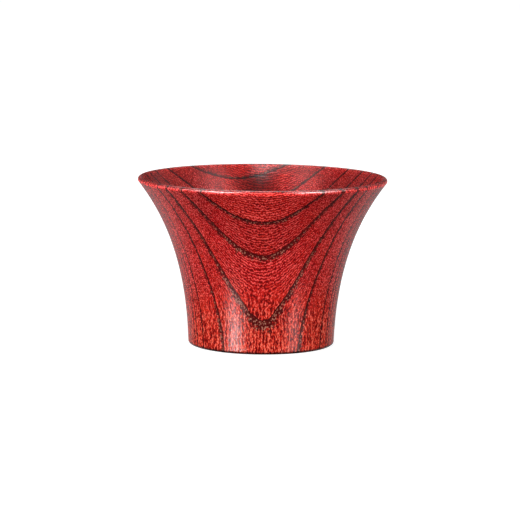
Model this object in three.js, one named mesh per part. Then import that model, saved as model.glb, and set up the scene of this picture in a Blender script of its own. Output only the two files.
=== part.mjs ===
// A flared sake cup, turned from one block of zelkova wood and finished with wiped lacquer.
// The cup is one piece of wood. Its thin wall sweeps out from a straight foot to a wide,
// rounded lip, its bowl has a rounded bottom, and a shallow recess is turned under its foot.
// Lengths are in millimetres and angles in degrees. +Z is up, and the origin is the middle of
// the face that the cup stands on.
import * as THREE from "three";

// Outside
const RIM_DIAMETER = 75;
const HEIGHT = 50.5;
const FOOT_DIAMETER = 44;
const FOOT_FLARE = 2.1; // lean of the wall just above the foot, outwards from upright
const LIP_FLARE = 37.5; // lean of the wall just below the lip
const FOOT_REACH = 22.3; // how far up the wall the foot's lean is felt
const LIP_REACH = 14.4; // how far down the wall the lip's lean is felt
const FOOT_EDGE_RADIUS = 0.9;

// Wall and bowl
const LIP_THICKNESS = 1.6;
const WALL_THICKNESS = 3.1; // just above the foot; the wall thins steadily towards the lip
const FLOOR_THICKNESS = 3.6; // wood between the bowl and the recess under the foot
const BOWL_ROUNDING = 11; // height of the rounded bottom of the bowl
const BOWL_FLATNESS = 0.62; // share of the bowl's bottom that stays nearly level

// Underside
const FOOT_RING_WIDTH = 3.2;
const RECESS_DEPTH = 1.6;
const RECESS_CORNER_RADIUS = 0.7;

// Facets
const STEPS_AROUND = 80;
const STEPS_ON_WALL = 16;
const STEPS_ON_LIP = 8;
const STEPS_ON_BOWL_BOTTOM = 9;
const STEPS_ON_EDGE = 3;

const lacqueredZelkova = new THREE.MeshStandardMaterial({ color: 0xa8262a, roughness: 0.4, metalness: 0 });

// Points of a profile are (distance from the axis, height). A direction that leans outwards
// from upright by an angle, and the one square to it that points away from the axis.
function leaning(degrees) {
  const a = THREE.MathUtils.degToRad(degrees);
  return new THREE.Vector2(Math.sin(a), Math.cos(a));
}

function outwardsFrom(direction) {
  return new THREE.Vector2(direction.y, -direction.x);
}

function moved(point, direction, distance) {
  return point.clone().addScaledVector(direction, distance);
}

// Points on a round edge, from one facing to another, both in degrees above level.
function roundEdge(centre, radius, from, to, steps) {
  const points = [];
  for (let i = 0; i <= steps; i++) {
    const a = THREE.MathUtils.degToRad(THREE.MathUtils.lerp(from, to, i / steps));
    points.push(new THREE.Vector2(centre.x + radius * Math.cos(a), centre.y + radius * Math.sin(a)));
  }
  return points;
}

// The outer face of the wall, from the foot's rounded edge to the lip.
const footCorner = new THREE.Vector2(FOOT_DIAMETER / 2, 0);
const footLean = leaning(FOOT_FLARE);
const footEdgeRise = (FOOT_EDGE_RADIUS * (1 - footLean.x)) / footLean.y;
const wallStart = moved(footCorner, footLean, footEdgeRise);
const footEdgeCentre = moved(wallStart, outwardsFrom(footLean), -FOOT_EDGE_RADIUS);

const lipRadius = LIP_THICKNESS / 2;
const lipLean = leaning(LIP_FLARE);
const lipCentre = new THREE.Vector2(RIM_DIAMETER / 2 - lipRadius, HEIGHT - lipRadius);
const wallEnd = moved(lipCentre, outwardsFrom(lipLean), lipRadius);

const outerWall = new THREE.CubicBezierCurve(
  wallStart,
  moved(wallStart, footLean, FOOT_REACH),
  moved(wallEnd, lipLean, -LIP_REACH),
  wallEnd,
);

// The inner face of the wall: the outer face moved inwards by the wall's own thickness there.
function innerWallPoint(share) {
  const thickness = THREE.MathUtils.lerp(WALL_THICKNESS, LIP_THICKNESS, share);
  const inwards = outwardsFrom(outerWall.getTangent(share)).negate();
  return moved(outerWall.getPoint(share), inwards, thickness);
}

// The share of the way up the wall at which its inner face reaches a height.
function innerWallShareAt(height) {
  let low = 0;
  let high = 1;
  while (high - low > 1e-6) {
    const middle = (low + high) / 2;
    if (innerWallPoint(middle).y < height) low = middle;
    else high = middle;
  }
  return (low + high) / 2;
}

function innerWall(bottomHeight) {
  const start = innerWallShareAt(bottomHeight);
  const points = [];
  for (let i = STEPS_ON_WALL; i >= 0; i--) {
    points.push(innerWallPoint(THREE.MathUtils.lerp(start, 1, i / STEPS_ON_WALL)));
  }
  return { points, lean: outerWall.getTangent(start) };
}

// The rounded bottom of the bowl, from the foot of the inner wall to the axis.
function bowlBottom(wallFoot, wallLean, floorHeight) {
  const centre = new THREE.Vector2(0, floorHeight);
  const sweep = new THREE.CubicBezierCurve(
    wallFoot,
    moved(wallFoot, wallLean, -BOWL_ROUNDING * BOWL_FLATNESS),
    new THREE.Vector2(wallFoot.x * BOWL_FLATNESS, floorHeight),
    centre,
  );
  return sweep.getPoints(STEPS_ON_BOWL_BOTTOM);
}

// The underside, from the axis to the foot's standing face: a level ceiling, a rounded corner
// and an upright wall.
function recess() {
  const radius = FOOT_DIAMETER / 2 - FOOT_RING_WIDTH;
  const corner = new THREE.Vector2(radius - RECESS_CORNER_RADIUS, RECESS_DEPTH - RECESS_CORNER_RADIUS);
  return [
    new THREE.Vector2(0, RECESS_DEPTH),
    ...roundEdge(corner, RECESS_CORNER_RADIUS, 90, 0, STEPS_ON_EDGE),
    new THREE.Vector2(radius, 0),
  ];
}

function cupProfile() {
  const floorHeight = RECESS_DEPTH + FLOOR_THICKNESS;
  const inner = innerWall(floorHeight + BOWL_ROUNDING);
  const innerFoot = inner.points[inner.points.length - 1];
  const sections = [
    recess(),
    roundEdge(footEdgeCentre, FOOT_EDGE_RADIUS, -90, -FOOT_FLARE, STEPS_ON_EDGE),
    outerWall.getPoints(STEPS_ON_WALL),
    roundEdge(lipCentre, lipRadius, -LIP_FLARE, 180 - LIP_FLARE, STEPS_ON_LIP),
    inner.points,
    bowlBottom(innerFoot, inner.lean, floorHeight),
  ];
  // Where two sections meet, the first one's end and the second one's start are one point.
  const profile = [];
  for (const point of sections.flat()) {
    const last = profile[profile.length - 1];
    if (!last || last.distanceTo(point) > 1e-6) profile.push(point);
  }
  return profile;
}

// The profile is turned about the axis, which a lathe geometry takes as Y, and stood upright.
function cup() {
  const geometry = new THREE.LatheGeometry(cupProfile(), STEPS_AROUND);
  geometry.rotateX(Math.PI / 2);
  const mesh = new THREE.Mesh(geometry, lacqueredZelkova);
  mesh.name = "cup";
  return mesh;
}

const sakeCup = new THREE.Group();
sakeCup.add(cup());

export default sakeCup;
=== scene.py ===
"""A flared sake cup of turned zelkova in red wiped lacquer, on a pale studio floor.

The cup is one piece of wood. Its outline is drawn from the sizes in Cup shape and turned about
the upright axis. Lengths in the shape settings are in metres and angles in radians, as
Blender's own units are, and the grain settings are in millimetres of wood.
"""
import math
from typing import NamedTuple

import bmesh
import bpy
from bpy.props import FloatProperty, FloatVectorProperty, IntProperty, PointerProperty
from mathutils import Matrix, Vector
from mathutils.geometry import interpolate_bezier


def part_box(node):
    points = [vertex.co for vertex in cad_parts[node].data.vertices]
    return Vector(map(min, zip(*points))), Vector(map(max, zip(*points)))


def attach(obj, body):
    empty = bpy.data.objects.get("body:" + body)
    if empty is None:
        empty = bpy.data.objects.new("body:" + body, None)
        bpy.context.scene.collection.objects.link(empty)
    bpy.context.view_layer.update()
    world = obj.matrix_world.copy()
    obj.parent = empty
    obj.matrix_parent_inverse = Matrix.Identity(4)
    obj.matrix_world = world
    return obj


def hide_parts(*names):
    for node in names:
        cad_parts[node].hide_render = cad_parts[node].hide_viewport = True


bl_info = {
    "name": "Lacquered Sake Cup",
    "version": (1, 0, 0),
    "blender": (4, 5, 0),
    "location": "3D View > Sidebar > Cup",
    "description": "Turns a flared zelkova sake cup and sets it in a small studio",
    "category": "Add Mesh",
}

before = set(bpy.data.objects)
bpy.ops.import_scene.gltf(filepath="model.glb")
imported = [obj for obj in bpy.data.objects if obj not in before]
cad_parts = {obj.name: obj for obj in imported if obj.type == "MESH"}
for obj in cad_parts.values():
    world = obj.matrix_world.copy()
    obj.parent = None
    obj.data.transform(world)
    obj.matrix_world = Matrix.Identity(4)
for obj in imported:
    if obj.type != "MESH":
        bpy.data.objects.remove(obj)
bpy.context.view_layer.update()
cup_low, cup_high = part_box("cup")

MM = 0.001


class Ring(NamedTuple):
    """A growth ring of the wood, and the row of pores behind its border."""

    border: float  # millimetres from the cup's axis towards the viewer
    lightness: float  # of the wood behind the border, where 1 is plain
    row_width: float  # millimetres


class Softbox(NamedTuple):
    """A rectangular lamp that faces the cup."""

    name: str
    azimuth: float  # degrees to the right of the viewer
    elevation: float  # degrees above level
    distance: float  # metres, as the width and the height are
    width: float
    height: float
    power: float  # watts
    matt: bool  # whether it lights matt surfaces
    glossy: bool  # whether it shows in glossy ones


# The growth rings, from the front.
RINGS = (
    Ring(38.0, 1.0, 1.0), Ring(30.6, 0.92, 0.9), Ring(26.9, 1.1, 1.15), Ring(22.8, 1.13, 1.15),
    Ring(19.2, 1.22, 0.85), Ring(13.9, 1.25, 0.6), Ring(11.2, 1.35, 0.5), Ring(9.6, 1.25, 0.5),
    Ring(6.3, 1.25, 0.5), Ring(2.9, 1.5, 0.5), Ring(-0.6, 1.5, 0.5), Ring(-4.2, 1.45, 0.6),
    Ring(-8.2, 1.2, 0.7), Ring(-12.4, 1.15, 0.8), Ring(-17.0, 1.05, 0.8), Ring(-22.0, 1.3, 0.8),
    Ring(-28.6, 1.2, 1.0), Ring(-35.8, 1.3, 1.15),
)

# How the rings run, in millimetres of wood: from LEAN_START up they lean towards the viewer, by
# LEAN over a height of LEAN_RISE, and waves bend them.
LEAN = 2.6
LEAN_START = 20.0
LEAN_RISE = 30.0
SLOW_WAVE = 0.22
QUICK_WAVE = 0.1

# The slope of the rings across the cup, on its axis, and how it grows towards the back: by
# millimetre and by millimetre squared.
ASKEW = 0.053
ASKEW_GROWTH = 0.00386
ASKEW_CURVE = 0.000063

RING_SPAN = 100.0  # millimetres of depth, centred on the cup's axis, that hold all the rings
FAR = 1000.0  # millimetres, farther than any ring lies

# Where the wood's look changes, in millimetres: the place where a change begins, and the one
# where it is complete. The first is measured behind a ring's border, the next three above the
# standing face, three more to the side of the axis, and the last three below the lip's top. At the
# foot's edge the change is painted shade, in the bowl's streaks painted shade and light, and on the
# lip band painted light.
RIPE_WOOD = (0.5, 4.2)
LOW_WOOD = (26.0, 4.0)
FOOT_LINES = (25.0, 15.0)
FOOT_EDGE_SHADE = (1.1, 0.5)
ARCH_ENDS = (8.0, 20.0)
FOOT_SIDES = (13.0, 19.0)
STREAKS_SIDES = (24.0, 16.0)
STREAKS_TOP = (2.0, 4.0)
LIP_BAND_TOP = (0.3, 0.7)
LIP_BAND_FOOT = (1.7, 1.1)

# The painted streaks of shade and light down the bowl's side, in millimetres.
STREAK_PITCH = 27.0
STREAK_SHIFT = 2.0

# The lines above the foot's front fan out: from FAN_START up, over FAN_RISE and within FAN_WIDTH
# of the middle, in millimetres, and by FAN_SPREAD of their pitch for each millimetre of rise.
FAN_START = 12.0
FAN_RISE = 14.0
FAN_WIDTH = 12.0
FAN_SPREAD = 0.03

RELIEF_DEPTH = 0.03 * MM

FLOOR_RADIUS = 6.0
FLOOR_STEPS = 96
FLOOR_DROP = 0.02 * MM  # keeps the floor off the face that the cup stands on
SHADOW_REACH = (0.1, 0.5)  # metres from the axis, where the floor's shading fades to white

# The lamps. The softboxes light the wood. The glows are the bright table, seen in the gloss
# near the foot. The rim strips shine along the lip's side and the back wall along its top. The
# top strip, the panels, the backdrop and the tables lie as soft light in the gloss of the bowl
# and of the sides. The fills only lighten the wood.
SOFTBOXES = (
    Softbox("left softbox", -41, 20, 0.8, 0.26, 0.6, 3.3, True, True),
    Softbox("right softbox", 56, 20, 0.8, 0.26, 0.6, 2.2, True, True),
    Softbox("left glow", -41, -13, 0.75, 0.155, 0.26, 1.75, False, True),
    Softbox("right glow", 52, -13, 0.75, 0.115, 0.26, 0.5, False, True),
    Softbox("high left softbox", -72, 60, 0.9, 0.30, 0.28, 0.45, True, True),
    Softbox("high right softbox", 76, 56, 0.9, 0.32, 0.28, 0.5, True, True),
    Softbox("top softbox", -15, 79, 0.8, 0.8, 0.17, 1.1, True, False),
    Softbox("top strip", -45, 80, 0.8, 0.42, 0.1, 1.15, False, True),
    Softbox("left rim strip", -42, 28, 0.8, 0.48, 0.42, 14.5, False, True),
    Softbox("right rim strip", 50, 28, 0.8, 0.44, 0.42, 14.0, False, True),
    Softbox("left side panel", -86, 22, 0.8, 0.75, 0.4, 2.2, False, True),
    Softbox("right side panel", 90, 22, 0.8, 0.75, 0.4, 0.9, False, True),
    Softbox("back right panel", 134, 25, 1.0, 0.7, 0.7, 0.3, False, True),
    Softbox("back left panel", -134, 25, 1.0, 0.7, 0.7, 0.15, False, True),
    Softbox("back wall", 180, 57, 1.2, 0.9, 0.8, 9.0, False, True),
    Softbox("backdrop", 180, -15, 1.2, 2.4, 0.9, 2.1, True, True),
    Softbox("left table", -132, -34, 1.0, 0.65, 0.55, 0.2, False, True),
    Softbox("right table", 132, -34, 1.0, 0.65, 0.55, 0.15, False, True),
    Softbox("left back fill", -125, 4, 0.8, 0.5, 0.4, 2.6, True, False),
    Softbox("front fill", -5, 2, 1.5, 0.8, 0.25, 7.2, True, False),
)


class CupShape(bpy.types.PropertyGroup):
    """Sizes of the turned cup."""

    rim_diameter: FloatProperty(
        name="Rim diameter", description="Width across the lip",
        default=cup_high.x - cup_low.x, min=0.03, unit="LENGTH")
    height: FloatProperty(
        name="Height", description="From the standing face to the top of the lip",
        default=cup_high.z - cup_low.z, min=0.02, unit="LENGTH")
    foot_diameter: FloatProperty(
        name="Foot diameter", description="Width of the foot, measured to its sharp corner",
        default=44 * MM, min=0.01, unit="LENGTH")
    foot_flare: FloatProperty(
        name="Foot flare", description="Lean of the wall just above the foot",
        default=math.radians(2.1), subtype="ANGLE")
    lip_flare: FloatProperty(
        name="Lip flare", description="Lean of the wall just below the lip",
        default=math.radians(37.5), subtype="ANGLE")
    foot_reach: FloatProperty(
        name="Foot reach", description="How far up the wall the foot's lean is felt",
        default=22.3 * MM, min=0, unit="LENGTH")
    lip_reach: FloatProperty(
        name="Lip reach", description="How far down the wall the lip's lean is felt",
        default=14.4 * MM, min=0, unit="LENGTH")
    foot_edge_radius: FloatProperty(
        name="Foot edge radius", description="Rounding of the foot's outer edge",
        default=0.9 * MM, min=0, unit="LENGTH")
    lip_thickness: FloatProperty(
        name="Lip thickness", description="Thickness of the wall at its rounded lip",
        default=1.6 * MM, min=0.0005, unit="LENGTH")
    wall_thickness: FloatProperty(
        name="Wall thickness", description="Thickness of the wall just above the foot",
        default=3.1 * MM, min=0.0005, unit="LENGTH")
    floor_thickness: FloatProperty(
        name="Floor thickness", description="Wood between the bowl and the recess under it",
        default=3.6 * MM, min=0.0005, unit="LENGTH")
    bowl_rounding: FloatProperty(
        name="Bowl rounding", description="Height of the rounded bottom of the bowl",
        default=11 * MM, min=0.001, unit="LENGTH")
    bowl_flatness: FloatProperty(
        name="Bowl flatness", description="Share of the bowl's bottom that stays nearly level",
        default=0.62, min=0, max=1, subtype="FACTOR")
    foot_ring_width: FloatProperty(
        name="Foot ring width", description="Width of the ring that the cup stands on",
        default=3.2 * MM, min=0.0005, unit="LENGTH")
    recess_depth: FloatProperty(
        name="Recess depth", description="Depth of the hollow turned under the foot",
        default=1.6 * MM, min=0, unit="LENGTH")
    recess_corner_radius: FloatProperty(
        name="Recess corner radius", description="Rounding inside the recess's corner",
        default=0.7 * MM, min=0, unit="LENGTH")
    wall_steps: IntProperty(
        name="Wall steps", description="Steps along the wall", default=72, min=4)
    edge_steps: IntProperty(
        name="Edge steps", description="Steps along each small rounded edge", default=10, min=2)
    turn_steps: IntProperty(
        name="Turn steps", description="Steps around the cup", default=320, min=12)


class WoodLook(bpy.types.PropertyGroup):
    """Colours and figure of the lacquered wood."""

    crimson: FloatVectorProperty(
        name="Crimson", description="Lacquered wood high up and just behind a ring's border",
        subtype="COLOR", size=3, min=0, max=1, default=(0.46, 0.0, 0.001))
    vermilion: FloatVectorProperty(
        name="Vermilion", description="Lacquered wood near the foot, where it glows orange",
        subtype="COLOR", size=3, min=0, max=1, default=(0.58, 0.01, 0.002))
    # Light flecks of the grain, with a painted glint in their pinkish tint.
    ember_and_glint: FloatVectorProperty(
        name="Ember", description="Light flecks of the grain under the lacquer",
        subtype="COLOR", size=3, min=0, max=1, default=(0.94, 0.11, 0.1))
    amber: FloatVectorProperty(
        name="Amber", description="Light flecks near the foot",
        subtype="COLOR", size=3, min=0, max=1, default=(0.88, 0.19, 0.115))
    garnet: FloatVectorProperty(
        name="Garnet", description="Dark flecks of the grain",
        subtype="COLOR", size=3, min=0, max=1, default=(0.11, 0.0, 0.0))
    pore_brown: FloatVectorProperty(
        name="Pore brown", description="Lacquer left in the pores at each ring's border",
        subtype="COLOR", size=3, min=0, max=1, default=(0.048, 0.001, 0.001))
    pore_bloom: FloatVectorProperty(
        name="Pore bloom", description="Dull light specks in some of the pores",
        subtype="COLOR", size=3, min=0, max=1, default=(0.33, 0.115, 0.075))
    figure_contrast: FloatProperty(
        name="Figure contrast", description="Strength of the light and dark flecks",
        default=3.0, min=0)
    pore_contrast: FloatProperty(
        name="Pore contrast", description="How dark the single pores between the rows are",
        default=2.6, min=0)
    line_pitch: FloatProperty(
        name="Line pitch", description="Millimetres between the fine wavy lines of the grain",
        default=0.93, min=0.01)
    line_wander: FloatProperty(
        name="Line wander", description="Millimetres that the fine lines wander", default=0.85)
    pore_pitch: FloatProperty(
        name="Pore pitch", description="Millimetres from one open pore to the next",
        default=0.44, min=0.1)
    roughness: FloatProperty(
        name="Roughness", description="Dullness of the wiped lacquer",
        default=0.2, min=0, max=1, subtype="FACTOR")
    # Painted shade: the wood's colour is darkened inside the bowl.
    bowl_painted_shade: FloatProperty(
        name="Bowl shade", description="How much darker the lacquer is inside the bowl",
        default=0.1, min=0, max=1, subtype="FACTOR")
    # Painted shade and light: dark and light streaks down the bowl's side.
    bowl_painted_streaks: FloatProperty(
        name="Bowl streaks", description="Strength of the dark streaks down the bowl's side",
        default=0.46, min=0, max=1, subtype="FACTOR")


class StudioLook(bpy.types.PropertyGroup):
    """Floor, lamps and camera."""

    floor_color: FloatVectorProperty(
        name="Floor colour", description="Colour of the studio floor",
        subtype="COLOR", size=3, min=0, max=1, default=(0.4, 0.4, 0.4))
    light: FloatProperty(
        name="Light", description="Share of every lamp's power", default=1.0, min=0)
    room_light: FloatProperty(
        name="Room light", description="Strength of the white room around the cup",
        default=0.05, min=0, max=1, subtype="FACTOR")
    lens: FloatProperty(
        name="Lens", description="Focal length on a 36 mm sensor",
        default=0.1973, min=0.01, unit="LENGTH")
    distance: FloatProperty(
        name="Camera distance", description="From the camera to the middle of the cup",
        default=0.86, min=0.1, unit="LENGTH")
    elevation: FloatProperty(
        name="Camera elevation", description="Angle of the view above level",
        default=math.radians(8.1), subtype="ANGLE")
    roll: FloatProperty(
        name="Camera roll", description="Turn of the camera about its own line of sight",
        default=math.radians(0.57), subtype="ANGLE")
    aim_height: FloatProperty(
        name="Aim height", description="Height on the cup's axis that the camera is set to",
        default=25 * MM, unit="LENGTH")
    aim_left: FloatProperty(
        name="Aim left", description="How far left of that point the camera looks",
        default=0.54 * MM, unit="LENGTH")
    aim_up: FloatProperty(
        name="Aim up", description="How far above that point the camera looks",
        default=0.24 * MM, unit="LENGTH")


def leaning(angle):
    """A unit vector that leans outwards from upright, in the profile's plane."""
    return Vector((math.sin(angle), math.cos(angle)))


def outwards_from(direction):
    return Vector((direction.y, -direction.x))


def round_edge(centre, radius, start, end, steps):
    """Points on a round edge, from one facing to another, both above level."""
    angles = [start + (end - start) * i / steps for i in range(steps + 1)]
    return [centre + radius * Vector((math.cos(a), math.sin(a))) for a in angles]


def foot_edge(shape):
    """The foot's rounded outer edge, from the standing face to the wall."""
    radius = shape.foot_edge_radius
    lean = leaning(shape.foot_flare)
    rise = radius * (1 - lean.x) / lean.y
    wall_start = Vector((shape.foot_diameter / 2, 0)) + rise * lean
    centre = wall_start - radius * outwards_from(lean)
    return round_edge(centre, radius, -math.pi / 2, -shape.foot_flare, shape.edge_steps)


def lip_edge(shape):
    """The rounded lip, from the outer wall over the top to the inner wall."""
    radius = shape.lip_thickness / 2
    centre = Vector((shape.rim_diameter / 2 - radius, shape.height - radius))
    start = -shape.lip_flare
    return round_edge(centre, radius, start, start + math.pi, 2 * shape.edge_steps)


def outer_wall(shape, start, end):
    foot_handle = start + shape.foot_reach * leaning(shape.foot_flare)
    lip_handle = end - shape.lip_reach * leaning(shape.lip_flare)
    return interpolate_bezier(start, foot_handle, lip_handle, end, shape.wall_steps + 1)


def inner_wall(shape, wall):
    """The outer wall moved inwards by its thickness, which grows from the lip to the foot."""
    points = []
    for i, point in enumerate(wall):
        before = wall[max(i - 1, 0)]
        after = wall[min(i + 1, len(wall) - 1)]
        share = i / (len(wall) - 1)
        thickness = shape.wall_thickness + (shape.lip_thickness - shape.wall_thickness) * share
        points.append(point - thickness * outwards_from((after - before).normalized()))
    return points


def bowl_bottom(shape, wall_foot, lean, floor_height):
    side_handle = wall_foot - shape.bowl_rounding * shape.bowl_flatness * lean
    floor_handle = Vector((wall_foot.x * shape.bowl_flatness, floor_height))
    centre = Vector((0, floor_height))
    return interpolate_bezier(wall_foot, side_handle, floor_handle, centre, shape.wall_steps // 2)


def recess(shape):
    """The hollow under the foot, from the axis to the standing face."""
    radius = shape.foot_diameter / 2 - shape.foot_ring_width
    rounding = shape.recess_corner_radius
    corner = Vector((radius - rounding, shape.recess_depth - rounding))
    ceiling = [Vector((0, shape.recess_depth))]
    side = round_edge(corner, rounding, math.pi / 2, 0, shape.edge_steps)
    return ceiling + side + [Vector((radius, 0))]


def cup_profile(shape):
    """Half of the cup's cross-section, from the axis under the foot to the axis in the bowl.

    Also gives the place in that list where the bowl's side starts.
    """
    foot = foot_edge(shape)
    lip = lip_edge(shape)
    wall = [Vector(p[:2]) for p in outer_wall(shape, foot[-1], lip[0])]
    inside = inner_wall(shape, wall)
    floor_height = shape.recess_depth + shape.floor_thickness
    above = [i for i, p in enumerate(inside) if p.y > floor_height + shape.bowl_rounding]
    wall_foot = inside[above[0]]
    lean = (inside[above[1]] - wall_foot).normalized()
    bottom = [Vector(p[:2]) for p in bowl_bottom(shape, wall_foot, lean, floor_height)]
    down_inside = [inside[i] for i in reversed(above)]
    outside = recess(shape) + foot + wall[1:-1] + lip
    return outside + down_inside[1:-1] + bottom, len(outside)


def turned_mesh(name, profile, bowl_start, steps):
    """Turns a profile of (distance from the axis, height) points about the upright axis.

    The attribute named bowl is 1 on the profile's points from bowl_start on, and 0 before it.
    """
    bm = bmesh.new()
    bowl = bm.verts.layers.float.new("bowl")
    verts = [bm.verts.new((p.x, 0, p.y)) for p in profile]
    for i, vert in enumerate(verts):
        vert[bowl] = float(i >= bowl_start)
    for a, b in zip(verts, verts[1:]):
        bm.edges.new((a, b))
    bmesh.ops.spin(
        bm, geom=bm.verts[:] + bm.edges[:], cent=(0, 0, 0), axis=(0, 0, 1),
        angle=math.tau, steps=steps, use_merge=True)
    bmesh.ops.remove_doubles(bm, verts=bm.verts, dist=1e-6)
    bmesh.ops.recalc_face_normals(bm, faces=bm.faces)
    mesh = bpy.data.meshes.new(name)
    bm.to_mesh(mesh)
    bm.free()
    mesh.shade_smooth()
    return mesh


def new_object(name, data):
    obj = bpy.data.objects.new(name, data)
    bpy.context.scene.collection.objects.link(obj)
    return obj


class NodeBench:
    """Short calls that add shader nodes to one material and wire them together."""

    def __init__(self, tree):
        self.tree = tree

    def add(self, kind, **settings):
        node = self.tree.nodes.new(kind)
        for key, value in settings.items():
            setattr(node, key, value)
        return node

    def feed(self, socket, value):
        if isinstance(value, bpy.types.NodeSocket):
            self.tree.links.new(value, socket)
        else:
            socket.default_value = value

    def math(self, operation, *values, clamp=False):
        node = self.add("ShaderNodeMath", operation=operation, use_clamp=clamp)
        for socket, value in zip(node.inputs, values):
            self.feed(socket, value)
        return node.outputs[0]

    def times(self, first, *others):
        """All the values times each other."""
        for value in others:
            first = self.math("MULTIPLY", first, value)
        return first

    def minus(self, value, taken):
        return self.math("SUBTRACT", value, taken)

    def line(self, value, slope, start):
        """The value times the slope, plus the start."""
        return self.math("MULTIPLY_ADD", value, slope, start)

    def within(self, value, low, high):
        """The value, kept from low to high."""
        return self.math("MINIMUM", self.math("MAXIMUM", value, low), high)

    def blend(self, share, a, b):
        """The number a where the share is 0 and b where it is 1."""
        return self.line(self.minus(b, a), share, a)

    def vector(self, x, y, z):
        node = self.add("ShaderNodeCombineXYZ")
        for socket, value in zip(node.inputs, (x, y, z)):
            self.feed(socket, value)
        return node.outputs[0]

    def noise(self, place, scale, detail):
        """Smooth noise from -1 to 1."""
        node = self.add("ShaderNodeTexNoise")
        self.feed(node.inputs["Vector"], place)
        node.inputs["Scale"].default_value = scale
        node.inputs["Detail"].default_value = detail
        return self.line(node.outputs["Fac"], 2.0, -1.0)

    def cells(self, place, pitch):
        """Cells about a pitch apart: how many pitches off a cell's middle is, and its number."""
        node = self.add("ShaderNodeTexVoronoi")
        self.feed(node.inputs["Vector"], place)
        node.inputs["Scale"].default_value = 1 / pitch
        parts = self.add("ShaderNodeSeparateColor")
        self.feed(parts.inputs[0], node.outputs["Color"])
        return node.outputs["Distance"], parts.outputs[0]

    def ramp(self, value, low, high):
        """0 below low and 1 above high, with a smooth step between."""
        node = self.add("ShaderNodeMapRange", interpolation_type="SMOOTHSTEP")
        self.feed(node.inputs["Value"], value)
        self.feed(node.inputs["From Min"], low)
        self.feed(node.inputs["From Max"], high)
        return node.outputs["Result"]

    def mix(self, share, a, b):
        """The colour a where the share is 0 and b where it is 1."""
        node = self.add("ShaderNodeMix", data_type="RGBA")
        self.feed(node.inputs["Factor"], share)
        self.feed(node.inputs["A"], a)
        self.feed(node.inputs["B"], b)
        return node.outputs["Result"]


def color(value):
    """A colour setting with the fourth number that a socket takes."""
    return (*value, 1.0)


def grain_places(bench):
    """Places in the wood, in millimetres: x across, y towards the back, z up the trunk."""
    coordinates = bench.add("ShaderNodeTexCoord")
    scaled = bench.add("ShaderNodeVectorMath", operation="SCALE")
    bench.feed(scaled.inputs[0], coordinates.outputs["Object"])
    scaled.inputs["Scale"].default_value = 1 / MM
    parts = bench.add("ShaderNodeSeparateXYZ")
    bench.feed(parts.inputs[0], scaled.outputs[0])
    return parts.outputs


def drawn_out(bench, x, y, z, share):
    """A place for a pattern that runs up the trunk, because only a share of the height counts."""
    return bench.vector(x, y, bench.times(z, share))


def ring_depth(bench, x, y, z):
    """How far a place lies from the cup's axis towards the viewer, as the bent rings count it."""
    rise = bench.math("MAXIMUM", bench.math("DIVIDE", bench.minus(z, LEAN_START), LEAN_RISE), 0.0)
    lean = bench.times(bench.math("POWER", rise, 2.0), LEAN)
    slope = bench.line(y, bench.line(y, ASKEW_CURVE, ASKEW_GROWTH), ASKEW)
    depth = bench.minus(bench.minus(bench.times(x, slope), y), lean)
    slow = bench.noise(drawn_out(bench, x, y, z, 0.3), scale=0.09, detail=1.0)
    quick = bench.noise(drawn_out(bench, x, y, z, 0.2), scale=0.6, detail=2.0)
    return bench.line(quick, QUICK_WAVE, bench.line(slow, SLOW_WAVE, depth))


def border_distance(bench, depth):
    """Millimetres from a place to the ring border just in front of it."""
    nearest = None
    for ring in RINGS:
        behind = bench.minus(ring.border, depth)
        in_front = bench.math("LESS_THAN", behind, 0.0)
        distance = bench.line(in_front, FAR, behind)
        nearest = distance if nearest is None else bench.math("MINIMUM", nearest, distance)
    return nearest


def ring_traits(bench, depth):
    """How light the wood is in the ring around a place, and how wide its row of pores is."""
    node = bench.add("ShaderNodeValToRGB")
    bench.feed(node.inputs["Fac"], bench.line(depth, 1 / RING_SPAN, 0.5))
    ramp = node.color_ramp
    ramp.interpolation = "CONSTANT"
    ramp.elements.remove(ramp.elements[1])
    ramp.elements[0].color = (RINGS[-1].lightness, RINGS[-1].row_width, 0.0, 1.0)
    for ring, ring_behind in zip(RINGS, RINGS[1:]):
        start = ramp.elements.new(0.5 + ring_behind.border / RING_SPAN)
        start.color = (ring.lightness, ring.row_width, 0.0, 1.0)
    parts = bench.add("ShaderNodeSeparateColor")
    bench.feed(parts.inputs[0], node.outputs["Color"])
    return parts.outputs[0], parts.outputs[1]


def fine_lines(bench, look, across, place):
    """Wavy broken lines, by a number that grows across them: -1 in the dark ones, 1 between."""
    wander = bench.noise(place, scale=1.3, detail=1.0)
    wavy = bench.line(wander, look.line_wander, across)
    return bench.math("SINE", bench.times(wavy, math.tau / look.line_pitch))


def dashes(bench, place, density):
    """Light and dark dashes along the trunk, mostly from -1 to 1."""
    return bench.line(bench.noise(place, scale=density, detail=0.0), 3.6, -0.15)


def arch_figure(bench, look, x, y, z):
    """Fine arches on the cup's front, closer together higher up, and short dashes at its sides."""
    steepness = bench.line(z, -0.0022, 0.13)
    arch = bench.minus(z, bench.times(x, x, steepness))
    across = bench.times(arch, bench.line(arch, 0.0068, 0.6))
    arches = fine_lines(bench, look, across, drawn_out(bench, x, y, z, 0.8))
    side = bench.line(bench.ramp(bench.math("ABSOLUTE", x), *ARCH_ENDS), 0.75, 0.15)
    return bench.blend(side, arches, dashes(bench, drawn_out(bench, x, y, z, 0.6), 4.6))


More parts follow.
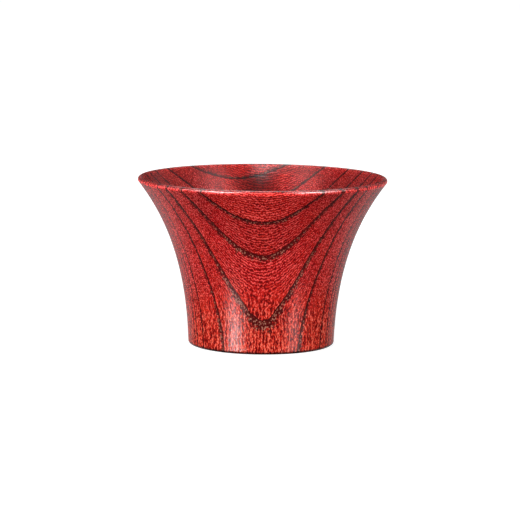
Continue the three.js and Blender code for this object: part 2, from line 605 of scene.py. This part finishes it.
def foot_figure(bench, look, x, y, z):
    """Upright lines and dashes, which fan out above the foot's front and go round its sides."""
    rise = bench.within(bench.minus(z, FAN_START), 0.0, FAN_RISE)
    middle = bench.within(x, -FAN_WIDTH, FAN_WIDTH)
    fanned = bench.line(bench.times(middle, rise), -FAN_SPREAD, x)
    side = bench.ramp(bench.math("ABSOLUTE", x), *FOOT_SIDES)
    turned = bench.times(bench.math("SIGN", x), bench.math("ABSOLUTE", y))
    across = bench.times(bench.blend(side, fanned, turned), 0.92)
    upright = fine_lines(bench, look, across, drawn_out(bench, x, y, z, 0.4))
    specks = dashes(bench, drawn_out(bench, fanned, y, z, 0.35), 4.8)
    return bench.blend(bench.line(side, 0.2, 0.4), upright, specks)


def scattered_pores(bench, look, x, y, z):
    """Single fine pores all over the wood: 1 in a pore and 0 around it."""
    distance, _ = bench.cells(drawn_out(bench, x, y, z, 0.4), 1.25 * look.pore_pitch)
    return bench.ramp(distance, 0.44, 0.26)


def grain_figure(bench, look, x, y, z):
    """The figure of the wood, from dark below 0 to light above it, with single dark pores."""
    height = bench.line(bench.math("ABSOLUTE", x), 0.3, z)
    low = bench.ramp(height, *FOOT_LINES)
    figure = bench.blend(low, arch_figure(bench, look, x, y, z), foot_figure(bench, look, x, y, z))
    lines = bench.line(figure, look.figure_contrast, 0.27)
    return bench.line(scattered_pores(bench, look, x, y, z), -look.pore_contrast, lines)


def ring_slant(bench):
    """How squarely the cup's face cuts the rings: 0 where it runs along them, 1 straight across."""
    parts = bench.add("ShaderNodeSeparateXYZ")
    bench.feed(parts.inputs[0], bench.add("ShaderNodeTexCoord").outputs["Normal"])
    along = bench.times(parts.outputs[1], parts.outputs[1])
    return bench.math("SQRT", bench.math("SUBTRACT", 1.0, along, clamp=True))


def pore_rows(bench, look, x, y, z, border, row_width, bowl):
    """Where the dark pores lie behind a ring border, and how dull each speck of them is.

    A thin dark line runs along the border. The row behind it is closed in front and breaks up
    into single dots towards its back. Both are thinner where the face runs along the rings and
    would show them too wide.
    """
    slant = ring_slant(bench)
    zone = bench.math("DIVIDE", border, bench.times(bench.line(slant, 0.7, 0.3), row_width))
    edge = bench.math("DIVIDE", border, bench.line(slant, 0.35, 0.01))
    rough = bench.noise(drawn_out(bench, x, y, z, 0.6), scale=2.0, detail=1.0)
    line = bench.ramp(bench.line(rough, 0.8, edge), 1.2, 0.8)
    row = bench.ramp(bench.line(rough, 1.2, zone), 1.1, 0.75)
    closed = bench.ramp(bench.line(rough, 0.7, zone), 1.1, 0.7)

    distance, kind = bench.cells(drawn_out(bench, x, y, z, 0.7), look.pore_pitch)
    dot = bench.ramp(distance, 0.58, 0.38)
    net = bench.times(row, bench.math("MAXIMUM", dot, bench.times(closed, 0.92)))
    dull = bench.times(
        dot, bench.math("GREATER_THAN", kind, 0.5), bench.line(closed, 0.8, 0.2),
        bench.minus(1.0, line), bench.ramp(slant, 0.9, 0.4), bench.line(bowl, -0.2, 1.0))
    return bench.math("MAXIMUM", line, net), dull


def paint_lip_light(bench, down, bowl):
    """Where light is painted along the outside of the lip: 1 there and 0 elsewhere."""
    band = bench.times(bench.ramp(down, *LIP_BAND_FOOT), bench.ramp(down, *LIP_BAND_TOP))
    return bench.times(band, bench.minus(1.0, bowl))


def paint_bowl_shade(bench, look, x, down, bowl):
    """How much painted shade darkens the wood: 0 outside, more in the bowl and most in its dark
    streaks, and below 0, as painted light, in the light streaks between them.
    """
    turn = math.tau / STREAK_PITCH
    streak = bench.math("COSINE", bench.line(x, turn, STREAK_SHIFT * turn))
    streak = bench.times(
        bench.math("MAXIMUM", streak, -0.45), bench.ramp(down, *STREAKS_TOP),
        bench.ramp(bench.math("ABSOLUTE", x), *STREAKS_SIDES))
    return bench.times(bowl, bench.line(streak, look.bowl_painted_streaks, look.bowl_painted_shade))


def figured_wood(bench, look, x, z, depth, border, figure):
    """The wood between the rows of pores: crimson to vermilion, with light and dark figure."""
    ripe = bench.ramp(border, *RIPE_WOOD)
    low = bench.ramp(z, *LOW_WOOD)
    drift = bench.noise(drawn_out(bench, x, depth, z, 0.3), scale=0.12, detail=2.0)
    glow = bench.line(low, 0.7, bench.line(ripe, 0.35, drift))
    base = bench.mix(bench.ramp(glow, -0.4, 1.1), color(look.crimson), color(look.vermilion))
    # The light flecks carry a painted glint in their pinkish tint.
    pale = bench.mix(low, color(look.ember_and_glint), color(look.amber))
    paleness = bench.line(bench.ramp(figure, 0.6, 2.9), 0.7, bench.line(low, 0.04, 0.04))
    light = bench.mix(paleness, base, pale)
    return bench.mix(bench.ramp(figure, 0.0, -2.0), light, color(look.garnet))


def shaded(bench, wood, z, lightness, painted_bowl_shade, lip):
    """The wood by its ring, with painted shade in the bowl and at the foot's edge, and painted
    light on the lip.
    """
    # Painted shadow: the wood darkens along the foot's edge, where it stands on the floor.
    painted_foot_shade = bench.line(bench.ramp(z, *FOOT_EDGE_SHADE), -0.85, 1.0)
    # Painted light: the lip's band is lightened.
    lip_painted_light = bench.line(lip, 0.7, 1.0)
    keep = bench.times(lightness, bench.minus(1.0, painted_bowl_shade), painted_foot_shade, lip_painted_light)
    scaled = bench.add("ShaderNodeVectorMath", operation="SCALE")
    bench.feed(scaled.inputs[0], wood)
    bench.feed(scaled.inputs["Scale"], keep)
    return scaled.outputs[0]


def lacquered_wood(look, height):
    """Zelkova under red wiped lacquer, on a cup of the height given."""
    material = bpy.data.materials.new("red wiped lacquer on zelkova")
    material.use_nodes = True
    bench = NodeBench(material.node_tree)
    shader = material.node_tree.nodes["Principled BSDF"]
    x, y, z = grain_places(bench)
    depth = ring_depth(bench, x, y, z)
    border = border_distance(bench, depth)
    lightness, row_width = ring_traits(bench, depth)
    bowl = bench.add("ShaderNodeAttribute", attribute_name="bowl").outputs["Fac"]
    down = bench.minus(height / MM, z)
    # Painted light along the outside of the lip.
    lip = paint_lip_light(bench, down, bowl)
    # Painted shade inside the bowl, with painted dark and light streaks.
    painted_bowl_shade = paint_bowl_shade(bench, look, x, down, bowl)

    figure = bench.times(grain_figure(bench, look, x, y, z), bench.line(bowl, -0.3, 1.0))
    # Painted shade and light reach the flecks too: fewer light flecks where the bowl is shaded,
    # more in its light streaks and on the lip.
    figure = bench.line(painted_bowl_shade, -1.6, bench.math("ADD", figure, lip))
    wood = figured_wood(bench, look, x, z, depth, border, figure)
    pores, bloom = pore_rows(bench, look, x, y, z, border, row_width, bowl)
    pore_color = bench.mix(bloom, color(look.pore_brown), color(look.pore_bloom))
    finish = shaded(bench, bench.mix(pores, wood, pore_color), z, lightness, painted_bowl_shade, lip)

    bump = bench.add("ShaderNodeBump")
    bump.inputs["Strength"].default_value = 0.35
    bump.inputs["Distance"].default_value = RELIEF_DEPTH
    bench.feed(bump.inputs["Height"], bench.minus(bench.times(figure, 0.3), pores))

    bench.feed(shader.inputs["Base Color"], finish)
    bench.feed(shader.inputs["Normal"], bump.outputs["Normal"])
    shader.inputs["Roughness"].default_value = look.roughness
    shader.inputs["IOR"].default_value = 1.5
    return material


def studio_floor(look):
    """A floor that the camera sees as white, apart from the cup's shadow close to the cup."""
    material = bpy.data.materials.new("studio floor")
    material.use_nodes = True
    bench = NodeBench(material.node_tree)
    shader = material.node_tree.nodes["Principled BSDF"]
    shader.inputs["Base Color"].default_value = color(look.floor_color)
    shader.inputs["Roughness"].default_value = 0.9
    radius = bench.add("ShaderNodeVectorMath", operation="LENGTH")
    bench.feed(radius.inputs[0], bench.add("ShaderNodeTexCoord").outputs["Object"])
    paling = bench.line(bench.ramp(radius.outputs["Value"], *SHADOW_REACH), 0.17, 0.83)
    seen = bench.add("ShaderNodeLightPath").outputs["Is Camera Ray"]
    bench.feed(shader.inputs["Emission Strength"], bench.times(seen, paling))
    shader.inputs["Emission Color"].default_value = (1, 1, 1, 1)
    return material


def add_floor(look):
    bm = bmesh.new()
    bmesh.ops.create_circle(bm, cap_ends=True, segments=FLOOR_STEPS, radius=FLOOR_RADIUS)
    mesh = bpy.data.meshes.new("floor")
    bm.to_mesh(mesh)
    bm.free()
    floor = new_object("floor", mesh)
    floor.location.z = -FLOOR_DROP
    floor.visible_glossy = False
    floor.visible_shadow = False
    mesh.materials.append(studio_floor(look))


def around(azimuth, elevation, distance):
    """A place seen from the cup at an azimuth to the right of the viewer and at an elevation."""
    level = distance * math.cos(elevation)
    height = distance * math.sin(elevation)
    return Vector((level * math.sin(azimuth), -level * math.cos(azimuth), height))


def add_softbox(box, light):
    """Adds a softbox with a share of its power."""
    lamp = bpy.data.lights.new(box.name, "AREA")
    lamp.shape = "RECTANGLE"
    lamp.size = box.width
    lamp.size_y = box.height
    lamp.energy = box.power * light
    obj = new_object(box.name, lamp)
    obj.visible_camera = False
    obj.visible_diffuse = box.matt
    obj.visible_glossy = box.glossy
    obj.location = around(math.radians(box.azimuth), math.radians(box.elevation), box.distance)
    obj.rotation_euler = obj.location.to_track_quat("Z", "Y").to_euler()


def white_room(strength):
    """An even white room, which the camera sees at full strength."""
    world = bpy.data.worlds.new("white room")
    bpy.context.scene.world = world
    world.use_nodes = True
    bench = NodeBench(world.node_tree)
    background = world.node_tree.nodes["Background"]
    path = bench.add("ShaderNodeLightPath")
    level = bench.line(path.outputs["Is Camera Ray"], 1.0 - strength, strength)
    background.inputs["Color"].default_value = (1, 1, 1, 1)
    bench.feed(background.inputs["Strength"], level)


def add_camera(look):
    """The camera stands in front of the cup, a little above it and turned by a slight roll."""
    scene = bpy.context.scene
    camera = bpy.data.cameras.new("camera")
    camera.lens = look.lens / MM
    camera.sensor_width = 36.0
    camera.clip_end = 100.0
    obj = new_object("camera", camera)
    back = Vector((0, -math.cos(look.elevation), math.sin(look.elevation)))
    level_up = Vector((0, math.sin(look.elevation), math.cos(look.elevation)))
    right = math.cos(look.roll) * Vector((1, 0, 0)) + math.sin(look.roll) * level_up
    up = back.cross(right)
    aim = Vector((0, 0, look.aim_height)) - look.aim_left * right + look.aim_up * up
    turn = Matrix((right, up, back)).transposed().to_4x4()
    obj.matrix_world = Matrix.Translation(aim + look.distance * back) @ turn
    scene.camera = obj


class CUP_OT_turned_cup(bpy.types.Operator):
    """Turn the cup and give it its lacquered wood"""

    bl_idname = "cup.turned_cup"
    bl_label = "Turned cup"

    def execute(self, context):
        shape = context.scene.cup_shape
        profile, bowl_start = cup_profile(shape)
        mesh = turned_mesh("turned_cup", profile, bowl_start, shape.turn_steps)
        cup = new_object("turned_cup", mesh)
        mesh.materials.append(lacquered_wood(context.scene.cup_wood, shape.height))
        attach(cup, "root")
        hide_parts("cup")
        return {"FINISHED"}


class CUP_OT_studio(bpy.types.Operator):
    """Set the floor, the lamps and the camera"""

    bl_idname = "cup.studio"
    bl_label = "Studio"

    def execute(self, context):
        look = context.scene.cup_studio
        context.scene.view_settings.view_transform = "Standard"
        add_floor(look)
        white_room(look.room_light)
        for box in SOFTBOXES:
            add_softbox(box, look.light)
        add_camera(look)
        return {"FINISHED"}


class CUP_PT_sidebar(bpy.types.Panel):
    """Sizes, colours and pieces of the cup"""

    bl_idname = "CUP_PT_sidebar"
    bl_label = "Sake cup"
    bl_space_type = "VIEW_3D"
    bl_region_type = "UI"
    bl_category = "Cup"

    def draw(self, context):
        for group in (context.scene.cup_shape, context.scene.cup_wood, context.scene.cup_studio):
            box = self.layout.box()
            for name in group.bl_rna.properties.keys():
                if name not in {"rna_type", "name"}:
                    box.prop(group, name)
        for operator in (CUP_OT_turned_cup, CUP_OT_studio):
            self.layout.operator(operator.bl_idname)


CLASSES = (CupShape, WoodLook, StudioLook, CUP_OT_turned_cup, CUP_OT_studio, CUP_PT_sidebar)


def register():
    for cls in CLASSES:
        bpy.utils.register_class(cls)
    bpy.types.Scene.cup_shape = PointerProperty(type=CupShape)
    bpy.types.Scene.cup_wood = PointerProperty(type=WoodLook)
    bpy.types.Scene.cup_studio = PointerProperty(type=StudioLook)


def unregister():
    del bpy.types.Scene.cup_studio
    del bpy.types.Scene.cup_wood
    del bpy.types.Scene.cup_shape
    for cls in reversed(CLASSES):
        bpy.utils.unregister_class(cls)


def main():
    register()
    bpy.ops.cup.studio()
    bpy.ops.cup.turned_cup()


if __name__ == "__main__":
    main()
